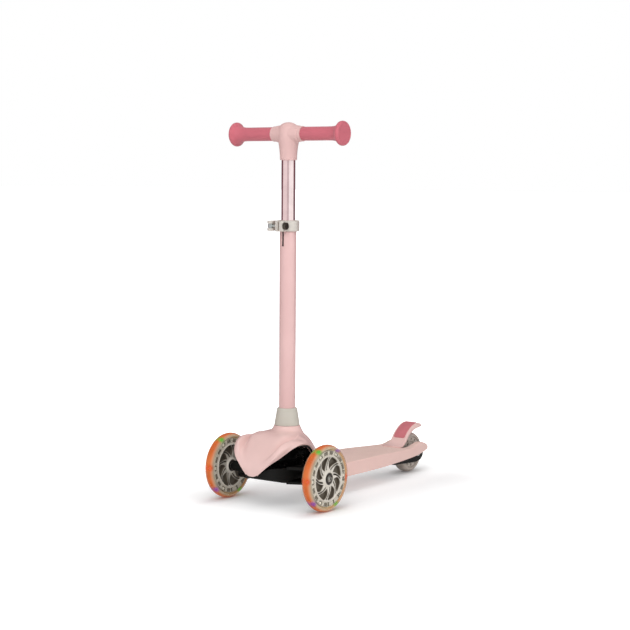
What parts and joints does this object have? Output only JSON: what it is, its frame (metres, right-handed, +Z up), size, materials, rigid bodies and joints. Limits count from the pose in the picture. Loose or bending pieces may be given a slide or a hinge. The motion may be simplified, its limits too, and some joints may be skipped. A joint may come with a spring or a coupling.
{
  "type": "kick scooter",
  "caption": "Children's lean-to-steer kick scooter with lit front wheels under a rounded nose, a small rear wheel with a fender brake, a low deck and a height-adjustable T handlebar.",
  "frame": {"origin": "middle of the bounding box on the ground, where the wheels touch", "axes": "+X forwards, +Y to the rider's left, +Z up along the stem"},
  "size_m": [0.5487, 0.25, 0.6913],
  "materials": {
    "deck_pink": "moulded pale pink plastic, fine anti-slip grain on top",
    "black_plastic": "black glass-filled plastic, faint sheen",
    "zinc_steel": "zinc plated steel",
    "spring_steel": "oiled spring steel",
    "pink_gloss": "pale pink satin gloss plastic",
    "pink_paint": "pale pink gloss powder coat",
    "warm_grey_plastic": "warm grey moulded plastic",
    "grey_alloy": "warm grey lacquered alloy",
    "dark_steel": "black oxide steel",
    "rose_chrome": "polished rose coloured plating",
    "tube_steel": "plain steel tube",
    "rose_rubber": "smooth rose thermoplastic rubber",
    "grey_polyurethane": "warm grey cast polyurethane",
    "warm_grey_hub": "warm grey moulded plastic",
    "bearing_steel": "ground bearing steel with dark shields",
    "rose_pad": "rose over-moulded tread pad",
    "clear_polyurethane": "clear cast polyurethane, lit from inside",
    "led_lens": "light emitting diode lenses",
    "magnet": "ferrite generator magnet"
  },
  "bodies": {
    "chassis": {"deck": "deck_pink", "front_carrier": "black_plastic", "rear_fork": "black_plastic", "lean_pivot_bolt": "zinc_steel", "lean_pivot_nut": "zinc_steel", "kingpins": "zinc_steel", "lean_spring_left": "spring_steel", "lean_spring_right": "spring_steel", "deck_screws": "zinc_steel", "fork_screws": "zinc_steel", "rear_axle_bolt": "zinc_steel", "rear_axle_nut": "zinc_steel", "rear_spacers": "zinc_steel", "brake_hinge_pin": "zinc_steel", "brake_spring": "spring_steel"},
    "steering_head": {"steering_block": "black_plastic", "nose_shell": "pink_gloss", "nose_liner": "black_plastic", "nose_screws": "zinc_steel", "stem_collar": "warm_grey_plastic", "outer_tube": "pink_paint", "stem_bolt": "zinc_steel", "stem_nut": "zinc_steel", "clamp_ring": "grey_alloy", "clamp_bolt": "zinc_steel", "clamp_nut": "dark_steel", "clamp_lever_pin": "zinc_steel"},
    "handlebar": {"inner_tube": "rose_chrome", "glide_bush": "black_plastic", "t_piece": "pink_gloss", "t_piece_screw": "dark_steel", "crossbar": "tube_steel", "left_grip": "rose_rubber", "right_grip": "rose_rubber"},
    "clamp_lever": {"clamp_lever": "grey_alloy"},
    "left_knuckle": {"left_knuckle": "black_plastic", "left_axle_bolt": "zinc_steel", "left_magnet_sleeve": "magnet", "left_tie_pin": "zinc_steel"},
    "right_knuckle": {"right_knuckle": "black_plastic", "right_axle_bolt": "zinc_steel", "right_magnet_sleeve": "magnet", "right_tie_pin": "zinc_steel"},
    "left_wheel": {"left_tyre": "clear_polyurethane", "left_hub": "warm_grey_hub", "left_leds": "led_lens", "left_bearings": "bearing_steel"},
    "right_wheel": {"right_tyre": "clear_polyurethane", "right_hub": "warm_grey_hub", "right_leds": "led_lens", "right_bearings": "bearing_steel"},
    "tie_rod": {"tie_rod": "black_plastic"},
    "rear_wheel": {"rear_tyre": "grey_polyurethane", "rear_hub": "warm_grey_hub", "rear_bearings": "bearing_steel"},
    "brake": {"fender_brake": "pink_gloss", "brake_pad": "rose_pad"}
  },
  "joints": [
    {"name": "lean", "type": "hinge", "parent": "chassis", "child": "steering_head", "pos_m": [0.168, 0, 0.082], "axis": [1, 0, 0], "range_deg": [-10, 10], "stiffness_Nm_per_rad": 30, "deforming": ["lean_spring_left", "lean_spring_right"]},
    {"name": "left_steer", "type": "hinge", "parent": "chassis", "child": "left_knuckle", "pos_m": [0.201, 0.075, 0.06], "axis": [0, 0, 1], "range_deg": [-12.2, 12.2]},
    {"name": "right_steer", "type": "hinge", "parent": "chassis", "child": "right_knuckle", "pos_m": [0.201, -0.075, 0.06], "axis": [0, 0, 1], "range_deg": [-12.2, 12.2]},
    {"name": "tie_rod_shift", "type": "slide", "parent": "chassis", "child": "tie_rod", "axis": [0, 1, 0], "range_m": [-0.0043, 0.0043]},
    {"name": "left_wheel_spin", "type": "hinge", "parent": "left_knuckle", "child": "left_wheel", "pos_m": [0.201, 0.1105, 0.06], "axis": [0, 1, 0], "continuous": true},
    {"name": "right_wheel_spin", "type": "hinge", "parent": "right_knuckle", "child": "right_wheel", "pos_m": [0.201, -0.1105, 0.06], "axis": [0, 1, 0], "continuous": true},
    {"name": "rear_wheel_spin", "type": "hinge", "parent": "chassis", "child": "rear_wheel", "pos_m": [-0.233, 0, 0.04], "axis": [0, 1, 0], "continuous": true},
    {"name": "handlebar_height", "type": "slide", "parent": "steering_head", "child": "handlebar", "axis": [0, 0, 1], "range_m": [-0.1, 0.04]},
    {"name": "clamp_lever_swing", "type": "hinge", "parent": "steering_head", "child": "clamp_lever", "pos_m": [0.1915, -0.0215, 0.504], "axis": [0, 0, 1], "range_deg": [0, 130]},
    {"name": "brake_press", "type": "hinge", "parent": "chassis", "child": "brake", "pos_m": [-0.187, 0, 0.0487], "axis": [0, -1, 0], "range_deg": [0, 4], "stiffness_Nm_per_rad": 1.5, "springref_deg": -5.73}
  ],
  "couplings": [
    {"joint": "left_steer", "follows": "lean", "ratio": -1.2},
    {"joint": "right_steer", "follows": "lean", "ratio": -1.2},
    {"joint": "tie_rod_shift", "follows": "lean", "m_per_rad": 0.024}
  ]
}
